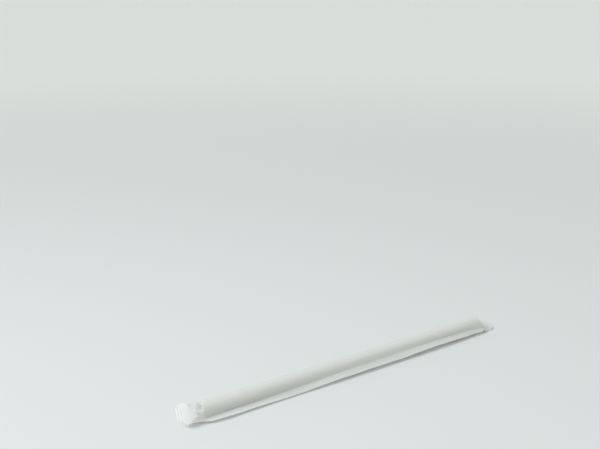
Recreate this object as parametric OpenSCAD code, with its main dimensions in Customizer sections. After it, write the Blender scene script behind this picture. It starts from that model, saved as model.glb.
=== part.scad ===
/* [Straw] */
// Outside diameter of the paper straw
straw_d = 8; // [6:0.5:12]
// Length of the straw between its square-cut ends
straw_len = 197; // [140:1:240]
// Wall of the straw, three wound plies of paper pressed into one
straw_wall = 0.45; // [0.3:0.05:0.8]

/* [Sleeve] */
// Thickness of one ply of the sleeve's paper
paper_t = 0.08; // [0.06:0.01:0.12]
// Room between the straw and the sleeve, on the radius
slack = 0.15; // [0.1:0.05:0.4]
// Width of the flat spot on which the soft sleeve lies
flat_w = 2.4; // [1.6:0.2:3.2]

/* [Fin seam] */
// Width of the fin, where both long edges of the sheet are pressed together
fin_w = 4.2; // [3:0.2:5]
// Distance of the fin's root from the round sleeve, at the long end
draw_long = 0.9; // [0.3:0.1:1.4]
// Distance of the fin's root from the round sleeve, at the short end
draw_short = 0.7; // [0.3:0.1:1.4]
// Angle of the fin's root below the horizontal, and of the flattened end with it, at the long end
root_long = 27; // [15:1:32]
// Angle of the fin's root below the horizontal, half way along
root_middle = 4; // [0:1:12]
// Angle of the fin's root below the horizontal, and of the flattened end with it, at the short end
root_short = 10; // [0:1:14]
// Droop of the fin itself at the long end
droop_long = 5; // [0:1:12]
// Droop of the fin itself half way along
droop_middle = 28; // [10:1:36]
// Droop of the fin itself at the short end
droop_short = 38; // [20:1:40]
// Width of the fin that stays out beside the flattened ends, where the rest is folded under
fin_end_w = 0.3; // [0.2:0.1:0.6]

/* [Long end] */
// Sleeve beyond the straw at the long end
long_overhang = 14; // [12:0.2:18]
// Length over which the round sleeve collapses to two flat plies
long_collapse = 8; // [6:0.2:9]
// Height of the flattened end above the sleeve's axis, square to its own plane, where it starts
long_rise = 2.2; // [1:0.1:3]
// Slope of the flattened end, down towards the cut edge
long_fall = 8.5; // [0:0.5:12]
// Bow across the flattened end
long_bow = 0.3; // [0:0.1:1]
// Share of the flat width that is left at the cut edge, on the fin's side
long_tip_fin = 0.25; // [0.2:0.05:0.8]
// Share of the flat width that is left at the cut edge, on the other side
long_tip_back = 0.65; // [0.2:0.05:0.8]
// Lean of the cut edge, away from square, towards the fin
long_lean = 13; // [0:1:18]

/* [Short end] */
// Sleeve beyond the straw at the short end
short_overhang = 11; // [9:0.2:14]
// Length over which the round sleeve collapses to two flat plies
short_collapse = 5; // [4:0.2:7]
// Depth of the flattened end below the sleeve's axis, square to its own plane
short_sink = 2.3; // [0:0.1:2.5]
// Bow across the flattened end
short_bow = 0.3; // [0:0.1:1]
// Share of the flat width that is left at the rounded cut edge
short_tip = 0.75; // [0.4:0.05:0.9]

/* [Crimp] */
// Distance from one cross ridge of the crimped ends to the next, about: whole ridges fill each end
crimp_pitch = 1.4; // [1:0.1:2]
// Height of the cross ridges, valley to crest
crimp_depth = 0.3; // [0.1:0.05:0.4]

/* [Hidden] */

straw_color = "#DCDCD7";
paper_color = "#EDF1EF";

// The straw lies on the lower ply, a hair above it
rest_gap = 0.02;
straw_r = straw_d / 2;
straw_z = paper_t + rest_gap + straw_r;
bore_r = straw_r - straw_wall;
// The bore's cutter runs past both ends of the tube
cut_past = 1;
// Sides of the tube, outside and in its bore
tube_sides = 96;

// Round part of the sleeve: its axis lies so low that the flat spot has its width
sleeve_r = straw_r + slack + paper_t;
sleeve_z = sqrt(sleeve_r ^ 2 - (flat_w / 2) ^ 2);
half_girth = PI * sleeve_r;

// The two plies of a flattened end lie this far apart
ply_gap = 0.04;
// Flattening runs from 0, round, to this value, two plies one on the other
flat_full = 1 - (paper_t + ply_gap / 2) / sleeve_r;

// The sleeve stays round for this distance past each end of the straw
long_round = 0.3;
short_round = 0.3;
// The fin starts to taper this far before the end of the round part
long_taper = 8;
short_taper = 6;
// The corners of the flattened ends: 1 is a straight slanting cut, 2 a parabola
corner_curve = 1.5;

// Points around the sleeve, and steps along each stretch of it
around = 36;
body_steps = 18;
collapse_steps = 9;

// Stations along X, from the long end's cut edge to the short end's
straw_end = straw_len / 2;
long_start = -straw_end - long_round;
long_flat = long_start - long_collapse;
long_cut = -straw_end - long_overhang;
short_start = straw_end + short_round;
short_flat = short_start + short_collapse;
short_cut = straw_end + short_overhang;
long_flat_len = long_flat - long_cut;
short_flat_len = short_cut - short_flat;

function steps(from, to, count) = [for (i = [1 : count]) from + (to - from) * i / count];
function ridges(length) = max(1, round(length / crimp_pitch));

stations = concat(
    [long_cut],
    steps(long_cut, long_flat, 2 * ridges(long_flat_len)),
    steps(long_flat, long_start, collapse_steps),
    steps(long_start, short_start, body_steps),
    steps(short_start, short_flat, collapse_steps),
    steps(short_flat, short_cut, 2 * ridges(short_flat_len))
);

// Values that change along the sleeve, given at the flattened ends and at both ends of the round part
function along(x, long_value, long_root, short_root, short_value) = lookup(x, [
    [long_flat, long_value], [long_start, long_root], [short_start, short_root], [short_flat, short_value]
]);
function flattening(x) = along(x, flat_full, 0, 0, flat_full);
function rise(x) = along(x, long_rise, 0, 0, -short_sink) - tan(long_fall) * max(0, long_flat - x);
function bow(x) = along(x, long_bow, 0, 0, short_bow);
function lean(x) = along(x, tan(long_lean), 0, 0, 0);
function drawn(x) = along(x, 0, draw_long, draw_short, 0);
function fin_width(x) = lookup(x, [
    [long_flat, fin_end_w], [long_start + long_taper, fin_w],
    [short_start - short_taper, fin_w], [short_flat, fin_end_w]
]);
// The fin's root turns along the straw, and the flattened ends keep the turn that it has there
function roll(x) = lookup(x, [[long_start, root_long], [0, root_middle], [short_start, root_short]]);
function droop(x) = lookup(x, [
    [long_flat, root_long], [long_start, droop_long], [0, droop_middle],
    [short_start, droop_short], [short_flat, root_short]
]);

// Share of the way from the line where the two plies meet to the cut edge
function long_share(x) = max(0, long_flat - x) / long_flat_len;
function short_share(x) = max(0, x - short_flat) / short_flat_len;

// Rounded corners narrow the flat from its full width to its cut edge
function width_share(x, out) =
    let (long_tip = out > 0 ? long_tip_fin : long_tip_back)
    1 - (1 - long_tip) * long_share(x) ^ corner_curve - (1 - short_tip) * short_share(x) ^ corner_curve;

// Cross ridges: a triangle wave with a valley at the line where the two plies meet
function wave(turns) = 1 - abs(2 * (turns - floor(turns)) - 1);
function ridge(x) = crimp_depth * (
    wave(long_share(x) * ridges(long_flat_len)) + wave(short_share(x) * ridges(short_flat_len))
);

// A point at a share of the girth, from the fin's root over the top and back: two half circles of radius r,
// joined by flats of half length h. The root lies at a distance from the circle, and the sheet runs straight
// from there to where it touches the circle
function girth_point(share, r, h, root_gap) =
    let (
        quarter = PI * r / 2,
        run = min(share, 1 - share) * 4 * (quarter + h),
        side = share < 0.5 ? 1 : -1,
        angle = run * 180 / PI / r,
        touch = acos(r / (r + root_gap)),
        past_flat = run - quarter - 2 * h,
        far_angle = past_flat * 180 / PI / r
    )
    angle < touch ?
        let (straight = angle / touch)
        [h + r + root_gap - straight * (r + root_gap - r * cos(touch)), side * straight * r * sin(touch)] :
    run < quarter ? [h + r * cos(angle), side * r * sin(angle)] :
    past_flat < 0 ? [-h - past_flat, side * r] :
    [-h - r * sin(far_angle), side * r * cos(far_angle)];

// From a section's own plane, out along the roll and up across it, to the part's frame. A bowed sheet
// spans less than a flat one, by two thirds of the square of its bow over its half width
function placed(x, out, up, floor_z) =
    let (
        a = roll(x),
        edge = sleeve_r + flattening(x) * (half_girth / 2 - sleeve_r),
        chord = 1 - 2 / 3 * (bow(x) / edge) ^ 2,
        across = out * width_share(x, out),
        p = across * chord,
        q = up + ridge(x) + bow(x) * (1 - (across / edge) ^ 2) + rise(x)
    )
    [
        x - across * lean(x),
        -p * cos(a) - q * sin(a),
        max(floor_z, sleeve_z - p * sin(a) + q * cos(a))
    ];

function outer_ring(x) =
    let (
        u = flattening(x),
        r = (1 - u) * sleeve_r,
        h = u * half_girth / 2,
        root = h + r + drawn(x),
        bend = roll(x) - droop(x),
        edge_out = root + fin_width(x) * cos(bend),
        edge_up = fin_width(x) * sin(bend),
        ply_out = paper_t * sin(bend),
        ply_up = paper_t * cos(bend)
    )
    concat(
        [
            for (i = [0 : around - 1])
                let (at = girth_point((i + 0.5) / around, r, h, drawn(x))) placed(x, at[0], at[1], 0)
        ],
        [
            placed(x, root, -paper_t, 0),
            placed(x, edge_out + ply_out, edge_up - ply_up, 0),
            placed(x, edge_out - ply_out, edge_up + ply_up, 0),
            placed(x, root, paper_t, 0)
        ]
    );

function inner_ring(x) =
    let (
        u = flattening(x),
        outer_r = (1 - u) * sleeve_r,
        r = outer_r - paper_t,
        h = u * half_girth / 2,
        root_gap = drawn(x) * r / outer_r
    )
    [
        for (i = [0 : around - 1])
            let (at = girth_point((i + 0.5) / around, r, h, root_gap)) placed(x, at[0], at[1], paper_t)
    ];

// Triangles between the rings of one row, where ring k starts at point first + k * n
function side_faces(first, n, rings) = [
    for (k = [0 : rings - 2], i = [0 : n - 1])
        let (
            a = first + k * n + i,
            b = first + k * n + (i + 1) % n
        )
        each [[a, b, b + n], [a, b + n, a + n]]
];

// The cut edge of the paper at one ring: a strip around the hollow, and the end of the fin
function cut_faces(outer, inner, n_outer) = concat(
    [
        for (i = [0 : around - 2])
            [outer + i, outer + i + 1, inner + i + 1, inner + i]
    ],
    [concat([for (i = [around - 1 : n_outer - 1]) outer + i], [outer, inner, inner + around - 1])]
);

function turned(faces) = [for (face = faces) [for (i = [len(face) - 1 : -1 : 0]) face[i]]];

// Straight tube, wound from paper strips and cut square
module straw() {
    color(straw_color)
        translate([-straw_end, 0, straw_z])
            rotate([0, 90, 0])
                difference() {
                    cylinder(r = straw_r, h = straw_len, $fn = tube_sides);
                    translate([0, 0, -cut_past])
                        cylinder(r = bore_r, h = straw_len + 2 * cut_past, $fn = tube_sides);
                }
}

// Paper sleeve: one sheet closed along the fin, then collapsed, pressed flat and crimped at both ends
module wrapper() {
    outer = [for (x = stations) outer_ring(x)];
    inner = [for (x = stations) inner_ring(x)];
    count = len(stations);
    n = len(outer[0]);
    hollow = count * n;
    faces = concat(
        side_faces(0, n, count),
        turned(side_faces(hollow, around, count)),
        turned(cut_faces(0, hollow, n)),
        cut_faces(hollow - n, hollow + (count - 1) * around, n)
    );
    color(paper_color)
        polyhedron([for (ring = concat(outer, inner)) each ring], faces);
}

straw();
wrapper();
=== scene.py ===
import math

import bmesh
import bpy
import numpy as np
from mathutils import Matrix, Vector


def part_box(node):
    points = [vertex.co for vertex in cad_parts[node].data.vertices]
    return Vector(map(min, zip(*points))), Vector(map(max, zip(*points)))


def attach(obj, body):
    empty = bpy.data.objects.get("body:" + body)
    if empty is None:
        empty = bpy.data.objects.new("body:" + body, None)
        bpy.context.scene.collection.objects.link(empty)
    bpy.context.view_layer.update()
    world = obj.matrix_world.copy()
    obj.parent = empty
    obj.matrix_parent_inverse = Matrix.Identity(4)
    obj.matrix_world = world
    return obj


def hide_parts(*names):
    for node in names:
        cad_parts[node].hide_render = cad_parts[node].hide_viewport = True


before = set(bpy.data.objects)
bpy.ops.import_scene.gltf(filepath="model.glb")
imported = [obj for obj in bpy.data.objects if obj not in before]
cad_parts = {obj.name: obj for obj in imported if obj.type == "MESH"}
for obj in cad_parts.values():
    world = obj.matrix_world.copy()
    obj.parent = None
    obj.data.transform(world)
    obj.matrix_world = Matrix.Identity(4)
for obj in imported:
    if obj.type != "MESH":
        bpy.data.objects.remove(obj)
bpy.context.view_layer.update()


# Straw: a square-cut tube of white paper, 8 mm by 197 mm, wound from strips on a mandrel and glued.
# The outermost strip's edges butt against each other, which leaves one fine spiral seam.
# All sizes here are in metres, as in the frame.
straw_low, straw_high = (Vector(corner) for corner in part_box("straw"))
straw_len = straw_high.x - straw_low.x
straw_r = (straw_high.y - straw_low.y) / 2
straw_z = (straw_high.z + straw_low.z) / 2
straw_wall = 0.00045
strip_width = 0.019
seam_depth = 0.00005


def linear(hex_colour):
    """An sRGB hex colour as the linear RGBA that a socket takes."""
    parts = [int(hex_colour[i : i + 2], 16) / 255 for i in (1, 3, 5)]
    return [c / 12.92 if c <= 0.04045 else ((c + 0.055) / 1.055) ** 2.4 for c in parts] + [1.0]


def add(tree, kind, inputs=None, **settings):
    """Adds a node with its settings, then fills its inputs with values or links them to other sockets."""
    node = tree.nodes.new(kind)
    for name, value in settings.items():
        setattr(node, name, value)
    for key, value in (inputs or {}).items():
        if isinstance(value, bpy.types.NodeSocket):
            tree.links.new(value, node.inputs[key])
        else:
            node.inputs[key].default_value = value
    return node


def new_material(name):
    """A material whose tree of nodes is empty."""
    material = bpy.data.materials.new(name)
    material.use_nodes = True
    material.node_tree.nodes.clear()
    return material


def clouds(tree, place, per_metre, detail):
    """Adds noise with about so many clouds to the metre, and gives its strength."""
    inputs = {"Vector": place, "Scale": per_metre, "Detail": detail}
    return add(tree, "ShaderNodeTexNoise", inputs).outputs["Fac"]


def blend(tree, share, first, second):
    """Mixes two colours, by a share from 0 to 1, and gives the mixed colour."""
    first_colour, second_colour, mixed_colour = 6, 7, 2
    inputs = {"Factor": share, first_colour: first, second_colour: second}
    return add(tree, "ShaderNodeMix", inputs, data_type="RGBA").outputs[mixed_colour]


# Uncoated straw paper: matt, its fibres a quarter of a millimetre long, its tone varying faintly in
# clouds.
# Its faintly warm light grey is darker than the white straw itself: painted shade, which greys the thin
# sleeve over it.
# The seam shows as a thin line that is a little darker than the strip.
fibre_relief = 0.00002
straw_paper = new_material("wound straw paper")
tree = straw_paper.node_tree
place = add(tree, "ShaderNodeTexCoord").outputs["Object"]
fibre = clouds(tree, place, per_metre=4000.0, detail=4.0)
cloud = clouds(tree, place, per_metre=300.0, detail=2.0)
seam = add(tree, "ShaderNodeAttribute", attribute_name="seam").outputs["Fac"]
# Painted shade: the strip's grey, darker than the white straw, stands in for shade on the sleeve's body
strip_tone_painted_shade = blend(tree, cloud, linear("#D5D4CE"), linear("#DBDAD4"))
tone = blend(tree, seam, strip_tone_painted_shade, linear("#C3C2BA"))
grain = add(tree, "ShaderNodeBump", {"Height": fibre, "Strength": 0.25, "Distance": fibre_relief})
shell = add(tree, "ShaderNodeBsdfPrincipled", {
    "Base Color": tone, "Roughness": 0.7, "IOR": 1.5, "Specular IOR Level": 0.3,
    "Normal": grain.outputs["Normal"],
})
add(tree, "ShaderNodeOutputMaterial", {"Surface": shell.outputs["BSDF"]})

# The tree winds one strip into the tube: a grid whose long way runs round and round and whose short way
# crosses the strip. What lies past the square cuts is pressed back to them, and the wall grows inwards.
straw_sizes = {
    "Radius": straw_r, "Wall": straw_wall, "Length": straw_len, "Strip": strip_width, "Seam": seam_depth,
}
wind = bpy.data.node_groups.new("wind straw", "GeometryNodeTree")
for name in straw_sizes:
    wind.interface.new_socket(name, in_out="INPUT", socket_type="NodeSocketFloat")
wind.interface.new_socket("Geometry", in_out="OUTPUT", socket_type="NodeSocketGeometry")
given = add(wind, "NodeGroupInput").outputs


def reckon(operation, *terms, **settings):
    """Adds one step of arithmetic on numbers and sockets to the winding tree, and gives its result."""
    return add(wind, "ShaderNodeMath", dict(enumerate(terms)), operation=operation, **settings).outputs[0]


front_end = reckon("MULTIPLY", given["Length"], 0.5)
back_end = reckon("MULTIPLY", front_end, -1.0)


def position():
    """The X, Y and Z of the point or face that the winding tree is working on."""
    whole_position = add(wind, "GeometryNodeInputPosition").outputs[0]
    return add(wind, "ShaderNodeSeparateXYZ", {0: whole_position}).outputs


def moved(geometry, *new_place):
    """Moves the points of a geometry to a new X, Y and Z."""
    joined = add(wind, "ShaderNodeCombineXYZ", dict(enumerate(new_place))).outputs[0]
    inputs = {"Geometry": geometry, "Position": joined}
    return add(wind, "GeometryNodeSetPosition", inputs).outputs["Geometry"]


def welded(geometry):
    """Joins the points of a geometry that lie in one place."""
    inputs = {"Geometry": geometry, "Distance": 0.000002}
    return add(wind, "GeometryNodeMergeByDistance", inputs).outputs["Geometry"]


def pressed(along):
    """Presses a place along the straw back to the square cuts."""
    inputs = {"Value": along, "Min": back_end, "Max": front_end}
    return add(wind, "ShaderNodeClamp", inputs).outputs[0]


sides_per_turn = 64.0
strip_rows = 9
turns = reckon("ADD", reckon("DIVIDE", given["Length"], given["Strip"]), 1.0)
strip = add(wind, "GeometryNodeMeshGrid", {
    "Size X": 1.0, "Vertices X": reckon("MULTIPLY", turns, sides_per_turn),
    "Size Y": 2.0, "Vertices Y": strip_rows,
})
# Rows crowd towards the strip's two edges, so that only the outermost row sinks into the seam
crowding = 3.0
outermost = 0.99
on_grid = position()
off_middle = reckon("ABSOLUTE", on_grid["Y"])
to_edge = reckon("SUBTRACT", 1.0, off_middle, use_clamp=True)
crowded = reckon("SUBTRACT", 1.0, reckon("POWER", to_edge, crowding))
across = reckon("MULTIPLY", reckon("MULTIPLY", crowded, 0.5), reckon("SIGN", on_grid["Y"]))
at_edge = reckon("GREATER_THAN", off_middle, outermost)
turned = reckon("MULTIPLY", reckon("ADD", on_grid["X"], 0.5), turns)
strips_along = reckon("SUBTRACT", reckon("ADD", turned, across), 0.5)
along = reckon("SUBTRACT", reckon("MULTIPLY", strips_along, given["Strip"]), front_end)
angle = reckon("MULTIPLY", turned, 2 * math.pi)
radius = reckon("SUBTRACT", given["Radius"], reckon("MULTIPLY", given["Seam"], at_edge))
marked = add(
    wind, "GeometryNodeStoreNamedAttribute",
    {"Geometry": strip.outputs["Mesh"], "Name": "seam", "Value": at_edge},
    data_type="FLOAT", domain="POINT",
)
wound = moved(
    marked.outputs["Geometry"], pressed(along),
    reckon("MULTIPLY", radius, reckon("COSINE", angle)),
    reckon("MULTIPLY", radius, reckon("SINE", angle)),
)
# Faces that were pressed flat into a cut are taken away
cut_margin = 0.000001
last_kept = reckon("SUBTRACT", front_end, cut_margin)
spent = reckon("GREATER_THAN", reckon("ABSOLUTE", position()["X"]), last_kept)
trimmed = add(wind, "GeometryNodeDeleteGeometry", {"Geometry": wound, "Selection": spent}, domain="FACE")
outside = welded(trimmed.outputs["Geometry"])
inside = add(
    wind, "GeometryNodeExtrudeMesh",
    {"Mesh": outside, "Offset Scale": reckon("MULTIPLY", given["Wall"], -1.0), "Individual": False},
    mode="FACES",
)
inside = add(wind, "GeometryNodeFlipFaces", {"Mesh": inside.outputs["Mesh"]})
both = add(wind, "GeometryNodeJoinGeometry", {"Geometry": outside})
wind.links.new(inside.outputs["Mesh"], both.inputs["Geometry"])
# The wall's inner edges are pressed back to the square cuts too
on_tube = position()
tube = moved(welded(both.outputs["Geometry"]), pressed(on_tube["X"]), on_tube["Y"], on_tube["Z"])
tube = add(wind, "GeometryNodeRealizeInstances", {"Geometry": tube}).outputs["Geometry"]
papered = add(wind, "GeometryNodeSetMaterial", {"Geometry": tube, "Material": straw_paper})
add(wind, "NodeGroupOutput", {"Geometry": papered.outputs["Geometry"]})

winder = bpy.data.objects.new("straw_winder", bpy.data.meshes.new("straw_winder"))
bpy.context.scene.collection.objects.link(winder)
winding = winder.modifiers.new("wind straw", "NODES")
winding.node_group = wind
for socket in wind.interface.items_tree:
    if socket.name in straw_sizes:
        winding[socket.identifier] = straw_sizes[socket.name]
bpy.context.view_layer.update()
straw_mesh = bpy.data.meshes.new_from_object(winder.evaluated_get(bpy.context.evaluated_depsgraph_get()))
winder.modifiers.remove(winding)
bpy.data.objects.remove(winder)
straw_mesh.name = "paper_straw"
work = bmesh.new()
work.from_mesh(straw_mesh)
bmesh.ops.translate(work, verts=work.verts, vec=(0, 0, straw_z))
bmesh.ops.recalc_face_normals(work, faces=work.faces)
if work.calc_volume(signed=True) < 0:
    bmesh.ops.reverse_faces(work, faces=work.faces)
work.to_mesh(straw_mesh)
work.free()
cut_edge_angle = math.radians(50)
straw_mesh.shade_smooth()
straw_mesh.set_sharp_from_angle(angle=cut_edge_angle)
straw = bpy.data.objects.new("paper_straw", straw_mesh)
bpy.context.scene.collection.objects.link(straw)
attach(straw, "root")
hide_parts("straw")


# Sleeve: one sheet of thin white paper, folded round the straw on a packing line. Its long edges are
# pressed together into a fin, and its ends are collapsed, pressed flat between ribbed jaws and cut off.
# All sizes here are in millimetres, as in the part's source.
mm_per_m = 1000
paper = 0.08
room_round_straw = 0.15
half_flat_spot = 1.2
ply_gap = 0.04
sleeve_r = straw_r * mm_per_m + room_round_straw + paper
sleeve_z = math.sqrt(sleeve_r**2 - half_flat_spot**2)
half_girth = math.pi * sleeve_r
straw_end = straw_len * mm_per_m / 2

# How far past the straw's ends the sleeve starts to collapse, lies flat and is cut off
start_past = 0.3
long_flat_past = 8.3
long_cut_past = 14.0
short_flat_past = 6.0
short_cut_past = 11.0

# Stations from cut edge to cut edge, close together where the paper is creased or ribbed. Each stretch
# has a start, a stop and a number of stations.
creased_from = straw_end - 3
stretches = [
    (-straw_end - long_cut_past, -straw_end - long_flat_past, 54),
    (-straw_end - long_flat_past, -creased_from, 100),
    (-creased_from, creased_from, 160),
    (creased_from, straw_end + short_flat_past, 70),
    (straw_end + short_flat_past, straw_end + short_cut_past, 33),
]
stations = [np.linspace(start, stop, count, endpoint=False) for start, stop, count in stretches]
x = np.concatenate(stations + [[straw_end + short_cut_past]])[:, None]
past_long = -straw_end - x
past_short = x - straw_end

# The fin along the straw: the angle of its root below the horizontal, how far the root is drawn out from
# the round sleeve, and the droop and width of the fin itself
root_angle = np.interp(x, [-98, -70, -28, 0, 57, 70, 90, 99], [27, 26, 13, 4, 0, 3, 5, 10])
root_out = np.interp(x, [-98, -75, -50, 30, 60, 90, 98], [0.9, 0.6, 0.6, 0.7, 0.2, 0.2, 1.2])
droop = np.interp(x, [-98, -75, -52, -20, 0, 30, 50, 70, 98], [4, 9, 24, 20, 30, 29, 22, 25, 38])
fin_width = np.interp(
    x,
    [-105, -101, -97, -88, -60, 50, 82, 96, 103],
    [0.3, 1.4, 3.8, 4.7, 4.2, 4.1, 3.8, 2.9, 0.3],
)


def rising(value, start, full):
    """Rises evenly from 0 at the start to 1 where it is full, and is level outside."""
    return np.clip((value - start) / (full - start), 0, 1)


def flat_lines(shares):
    """How far past the straw the flat starts at each end, for points at these shares of the girth.

    In the upper ply it starts along a V, whose point lies close to the straw on the fin's side.
    """
    long_line = np.interp(shares, [0, 0.09, 0.235, 0.46, 0.9, 1], [9.2, 3.4, 5.5, 7.2, 7.5, 9.2])
    short_line = np.interp(shares, [0, 0.12, 0.3, 1], [3.6, 2.6, 5.2, 6.0])
    return long_line, short_line


def collapse(shares):
    """How far points at these shares of the girth have gone from round, 0, to flat, 1, at each end."""
    long_line, short_line = flat_lines(shares)
    return rising(past_long, start_past, long_line), rising(past_short, start_past, short_line)


def section(shares):
    """Radius of the half circles that bound the section, and half the length of its two flats."""
    flat_r = paper + ply_gap / 2
    flatness = (1 - flat_r / sleeve_r) * sum(collapse(shares))
    return (1 - flatness) * sleeve_r, flatness * half_girth / 2


# The flattened ends. The long one is a skewed flap that bows upwards: its edge on the fin's side slants
# far in towards the cut, its far edge less, after a waist. The short end sinks towards the table.
near_taper = 0.76
near_taper_from = 0.2
far_taper = 0.32
far_taper_from = 0.375
short_taper = 0.25
waist = 0.24
waist_past = 7.0
waist_ends_past = 10.5
flap_skew = math.radians(13)
flap_rise = 2.5
flap_fall = 0.15
flap_middle_past = 6.5
short_sink = 2.3
bow_height = 0.3
# Half the height of the ridges that the jaws leave, and their number
long_ridge, long_ridges = 0.10, 4
short_ridge, short_ridges = 0.06, 2


def placed(shares, out, up):
    """Points of the section, out towards the fin's root and up across that, in the part's frame."""
    to_long, to_short = collapse(shares)
    half_flat = sum(section(shares))
    roll = np.radians(root_angle)
    long_share = rising(past_long, long_flat_past, long_cut_past)
    short_share = rising(past_short, short_flat_past, short_cut_past)
    near = 1 - near_taper * rising(long_share, near_taper_from, 1) - short_taper * short_share**2
    far = 1 - far_taper * rising(long_share, far_taper_from, 1) ** 2 - short_taper * short_share**2
    far = far - waist * to_long * rising(past_long, waist_ends_past, waist_past)
    wide = out * np.where(out > 0, near, far)
    bow = bow_height * (to_long + to_short)
    ribs = long_ridge * long_share**0.5 * (1 - np.cos(2 * np.pi * long_ridges * long_share))
    ribs = ribs + short_ridge * short_share**0.5 * (1 - np.cos(2 * np.pi * short_ridges * short_share))
    rise = to_long * (flap_rise - flap_fall * (past_long - flap_middle_past)) - short_sink * to_short
    # A bowed sheet reaches less far across, by this much for a shallow arc
    reach = wide * (1 - 2 / 3 * (bow / half_flat) ** 2)
    height = up + ribs + bow * (1 - (wide / half_flat) ** 2) + rise
    return np.stack([
        x - wide * math.tan(flap_skew) * to_long,
        -reach * np.cos(roll) - height * np.sin(roll),
        np.maximum(0, sleeve_z - reach * np.sin(roll) + height * np.cos(roll)),
    ], axis=-1)


# Once round the sleeve, from the fin's root over the top and back: two half circles joined by flats. The
# paper leaves the circle where a straight line from the root touches it.
girth_points = 132
tiny = 1e-9
share = (np.arange(girth_points) + 0.5)[None, :] / girth_points
bend_r, half_run = section(share)
drawn = root_out * (1 - sum(collapse(share)))
from_root = np.minimum(share, 1 - share) * 2 * half_girth
beyond = from_root - np.pi * bend_r / 2 - 2 * half_run
touch = np.arccos(bend_r / (bend_r + drawn))
straight = np.clip(from_root / np.maximum(bend_r * touch, tiny), 0, 1)
on_straight, on_near, on_flat = straight < 1, from_root < np.pi * bend_r / 2, beyond < 0
girth_out = np.select([on_straight, on_near, on_flat], [
    half_run + bend_r + drawn - straight * (bend_r + drawn - bend_r * np.cos(touch)),
    half_run + bend_r * np.cos(from_root / bend_r),
    -half_run - beyond,
], -half_run - bend_r * np.sin(beyond / bend_r))
girth_up = np.where(share < 0.5, 1, -1) * np.select([on_straight, on_near, on_flat], [
    straight * bend_r * np.sin(touch),
    bend_r * np.sin(from_root / bend_r),
    bend_r,
], bend_r * np.cos(beyond / bend_r))
girth = placed(share, girth_out, girth_up)

# The fin's two plies, from the root out to its cut edge, which curls and waves a little. Each wave has a
# size, a length for one radian of its phase, and a phase to start from.
fin_points = 9
fin_curl = 0.10
edge_waves = [(0.05, 5.3, 0.0), (0.07, 11.7, 1.3), (0.04, 2.9, 0.4)]
wave = sum(size * np.sin(x / length + start) for size, length, start in edge_waves)
root = np.zeros((1, fin_points))
outwards = np.linspace(0, 1, fin_points)[None, :]
still_round = 1 - sum(collapse(root))
fin_bend = np.radians(root_angle - droop) * still_round + (fin_curl + wave) * (outwards - 0.5)
fin_out = sum(section(root)) + root_out * still_round + fin_width * outwards * np.cos(fin_bend)
fin_up = fin_width * outwards * np.sin(fin_bend)
ply_out, ply_up = paper / 2 * np.sin(fin_bend), paper / 2 * np.cos(fin_bend)
upper_ply = placed(root, fin_out - ply_out, fin_up + ply_up)
lower_ply = placed(root, fin_out + ply_out, fin_up - ply_up)

# The paper gives here and there: slack swells along the straw, creases and dents in the collapsed ends
normal = np.cross(np.gradient(girth, axis=0), np.gradient(girth, axis=1))
normal /= np.maximum(np.linalg.norm(normal, axis=2, keepdims=True), tiny)
arc = share * 2 * half_girth


def fold(along_step, across_step, offset):
    """Straight creases: a triangle wave that runs slantwise over the sheet, from -1 to 1."""
    phase = x / along_step + arc / across_step + offset
    return 4 * np.abs(phase - np.floor(phase + 0.5)) - 1


def away(at_x, at_share, half_x, half_arc):
    """Distance from a place on the sheet, 1 at the edge of an ellipse round it."""
    return np.hypot((x - at_x) / half_x, (share - at_share) * 2 * half_girth / half_arc)


# Slack swells: low waves that run slantwise over the sheet
swell_height = 0.04
short_swell = np.sin(x / 9.1 + 5 * share)
long_swell = np.sin(x / 23.0 + 9 * share + 1)
lift = swell_height * short_swell * long_swell

# Creases: where the paper is crumpled, their height, their steps along and round the sleeve, their offset
crumpled_long = np.interp(past_long, [0.3, 1.8, 4.0, 7.0], [0, 1, 1, 0])
crumpled_short = np.interp(past_short, [0.0, 1.0, 3.5, 5.0], [0, 1, 1, 0])
creases = [
    (crumpled_long, 0.10, 4.1, 7.3, 0.1),
    (crumpled_long, 0.07, -3.2, 5.1, 0.35),
    (crumpled_short, 0.10, 3.7, 6.1, 0.2),
    (crumpled_short, 0.08, -2.9, 4.7, 0.6),
]
for crumpled, height, along_step, across_step, offset in creases:
    lift = lift + crumpled * height * fold(along_step, across_step, offset)

# At the long end the paper is drawn into the straw's mouth, a pocket with a raised rim below it
pocket_depth = 2.0
pocket_past = 1.3
pocket_reach = np.where(past_long > pocket_past, 3.0, pocket_past)
pocket = away(at_x=-straw_end - pocket_past, at_share=0.26, half_x=pocket_reach, half_arc=3.2)
rim_height = 0.4
rim_width = 0.2
rim_end, rim_fade = 0.28, 1 / 30
rim = np.exp(-(((pocket - 1) / rim_width) ** 2)) * rising(share, rim_end, rim_end - rim_fade)
lift = lift - pocket_depth * np.clip(1 - pocket**2, 0, 1) + rim_height * rim
# It sinks in a notch behind the flap, whose own edge stands a little proud of it
notch_depth = 1.5
notch = away(at_x=-straw_end - 5.0, at_share=0.41, half_x=2.6, half_arc=4.2)
lift = lift - notch_depth * np.clip(1 - notch, 0, 1)
flap_line = flat_lines(share)[0]
edged = np.interp(share, [0.04, 0.09, 0.42, 0.5], [0, 1, 1, 0])
lift = lift + edged * np.interp(past_long - flap_line, [-2.5, -0.7, 0, 3], [0, -0.4, 0.25, 0])
# Below the pocket it drops away from the straw's rim and comes back to the point of the V
slump_depth = 1.9
slump_past = 0.1
slump = np.interp((past_long - slump_past) / (flap_line - slump_past), [0, 0.86, 1], [0, 1, 0])
lift = lift - slump_depth * slump * np.interp(share, [0.0, 0.1, 0.13, 0.17], [0, 1, 1, 0])
# At the short end there is one shallow dent
dent_depth = 0.5
dent = away(at_x=straw_end + 1.9, at_share=0.3, half_x=1.8, half_arc=3.0)
lift = lift - dent_depth * np.clip(1 - dent, 0, 1)
girth = girth + normal * lift[..., None]
girth[..., 2] = np.maximum(girth[..., 2], 0)

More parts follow.
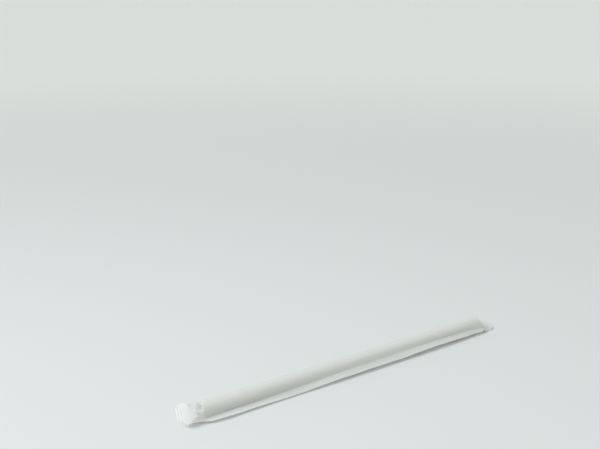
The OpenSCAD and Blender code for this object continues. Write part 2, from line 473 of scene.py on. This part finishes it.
ring = np.concatenate([upper_ply[:, ::-1], girth, lower_ply], axis=1) / mm_per_m
row_count, ring_count = ring.shape[:2]
index = np.arange(row_count * ring_count).reshape(row_count, ring_count)
ahead = np.roll(index, -1, axis=1)
quads = np.stack([index[:-1], index[1:], ahead[1:], ahead[:-1]], axis=-1).reshape(-1, 4)
# At each cut edge the two plies are closed against each other
closing = []
for row, step in ((0, 1), (row_count - 1, -1)):
    for point in range(ring_count // 2 - 1):
        facing = ring_count - 1 - point
        corners = index[row, [point, point + 1, facing - 1, facing]]
        closing.append(corners[::step].tolist())
sleeve_mesh = bpy.data.meshes.new("paper_sleeve")
sleeve_mesh.from_pydata(ring.reshape(-1, 3).tolist(), [], quads.tolist() + closing)
sleeve_mesh.validate()
work = bmesh.new()
work.from_mesh(sleeve_mesh)
bmesh.ops.recalc_face_normals(work, faces=work.faces)
work.to_mesh(sleeve_mesh)
work.free()
crease_angle = math.radians(55)
sleeve_mesh.shade_smooth()
sleeve_mesh.set_sharp_from_angle(angle=crease_angle)
sleeve = bpy.data.objects.new("paper_sleeve", sleeve_mesh)
bpy.context.scene.collection.objects.link(sleeve)

# Thin bleached sleeve paper, about 40 g/m2: matt, passes more than half of the light that it scatters, so
# it glows where light stands behind it and greys where the straw does. Its fibres lie in faint clouds.
passed_light = 0.58
sleeve_paper = new_material("thin sleeve paper")
tree = sleeve_paper.node_tree
place = add(tree, "ShaderNodeTexCoord").outputs["Object"]
stretched = add(tree, "ShaderNodeMapping", {"Vector": place, "Scale": (0.45, 1.0, 1.0)}).outputs["Vector"]
fibre = clouds(tree, stretched, per_metre=3200.0, detail=5.0)
cloud = clouds(tree, stretched, per_metre=420.0, detail=3.0)
tone = blend(tree, cloud, linear("#F5F5F4"), linear("#FBFBFA"))
grain = add(tree, "ShaderNodeBump", {"Height": fibre, "Strength": 0.2, "Distance": fibre_relief})
face = add(tree, "ShaderNodeBsdfPrincipled", {
    "Base Color": tone, "Roughness": 0.62, "IOR": 1.5, "Specular IOR Level": 0.3,
    "Normal": grain.outputs["Normal"],
})
through = add(tree, "ShaderNodeBsdfTranslucent", {
    "Color": linear("#FAFAF9"), "Normal": grain.outputs["Normal"],
})
sheet = add(tree, "ShaderNodeMixShader", {
    "Fac": passed_light, 1: face.outputs["BSDF"], 2: through.outputs["BSDF"],
})
add(tree, "ShaderNodeOutputMaterial", {"Surface": sheet.outputs["Shader"]})
sleeve_mesh.materials.append(sleeve_paper)
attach(sleeve, "root")
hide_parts("wrapper")


# Setting: a plain pale table top that runs on into the distance, not part of the object. Sizes from here
# on are in metres again.
far_off = 30
corner_signs = [(-1, -1), (1, -1), (1, 1), (-1, 1)]
floor_corners = [(far_off * x_sign, far_off * y_sign, 0) for x_sign, y_sign in corner_signs]
floor_mesh = bpy.data.meshes.new("table_top")
floor_mesh.from_pydata(floor_corners, [], [(0, 1, 2, 3)])
floor = bpy.data.objects.new("table_top", floor_mesh)
bpy.context.scene.collection.objects.link(floor)

# Pale matt table paint with painted light in the distance: paler where the near lamp no longer reaches
painted_light_from, full_painted_light_from = 0.25, 1.9
table_paint = new_material("pale matt table paint")
tree = table_paint.node_tree
place = add(tree, "ShaderNodeTexCoord").outputs["Object"]
distance = add(tree, "ShaderNodeVectorMath", {0: place}, operation="LENGTH").outputs["Value"]
painted_light_share = add(
    tree, "ShaderNodeMapRange",
    {"Value": distance, "From Min": painted_light_from, "From Max": full_painted_light_from},
    interpolation_type="SMOOTHSTEP",
)
# The far, paler colour is painted light, standing in for the lamp light that the table loses with
# distance
tone = blend(tree, painted_light_share.outputs["Result"], linear("#DADBDB"), linear("#EDEEEC"))
coat = add(tree, "ShaderNodeBsdfPrincipled", {
    "Base Color": tone, "Roughness": 0.8, "Specular IOR Level": 0.1,
})
add(tree, "ShaderNodeOutputMaterial", {"Surface": coat.outputs["BSDF"]})
floor_mesh.materials.append(table_paint)

# Light: an even pale room and two broad soft lamps, high on the long end's side. The far one stands a
# little behind, which leaves the straw's near side in soft shade. The near one fades along the table.
room = bpy.data.worlds.new("pale room")
bpy.context.scene.world = room
room.use_nodes = True
room_light = room.node_tree.nodes["Background"]
room_light.inputs["Color"].default_value = linear("#FDFFFB")
room_light.inputs["Strength"].default_value = 0.62


def hang(name, kind, towards, energy):
    """Hangs a cool white lamp in a direction from the part and turns it to face the part."""
    cool_white = (0.87, 0.98, 1.0)
    lamp = bpy.data.lights.new(name, kind)
    lamp.color = cool_white
    lamp.energy = energy
    lamp_object = bpy.data.objects.new(name, lamp)
    lamp_object.location = towards
    lamp_object.rotation_euler = (-towards).to_track_quat("-Z", "Y").to_euler()
    bpy.context.scene.collection.objects.link(lamp_object)
    return lamp


# Each lamp's energy is worked out from the share of full white that it gives a white table
far_at, far_share = Vector((-0.66, 0.28, 0.70)), 0.24
far_lamp = hang("far soft lamp", "SUN", far_at, far_share * math.pi / far_at.normalized().z)
far_lamp.angle = math.radians(26)
near_at, near_share = Vector((-0.60, -0.05, 0.62)), 0.25
near_energy = near_share * math.pi**2 * near_at.length_squared / near_at.normalized().z
near_lamp = hang("near soft lamp", "AREA", near_at, near_energy)
near_lamp.shape = "DISK"
near_lamp.size = 0.7

# Camera: a 48 mm lens on a 36 mm frame, some 47 cm from the middle of the straw, 21 cm above the table.
camera = bpy.data.objects.new("camera", bpy.data.cameras.new("camera"))
camera.data.sensor_width = 36
camera.data.lens = 48
camera.data.clip_start = 0.01
camera.location = (-0.2615, -0.3293, 0.2089)
looking = Vector((0.5394, 0.7940, -0.2803))
camera.rotation_euler = looking.to_track_quat("-Z", "Y").to_euler()
bpy.context.scene.collection.objects.link(camera)
bpy.context.scene.camera = camera
bpy.context.scene.view_settings.view_transform = "Standard"
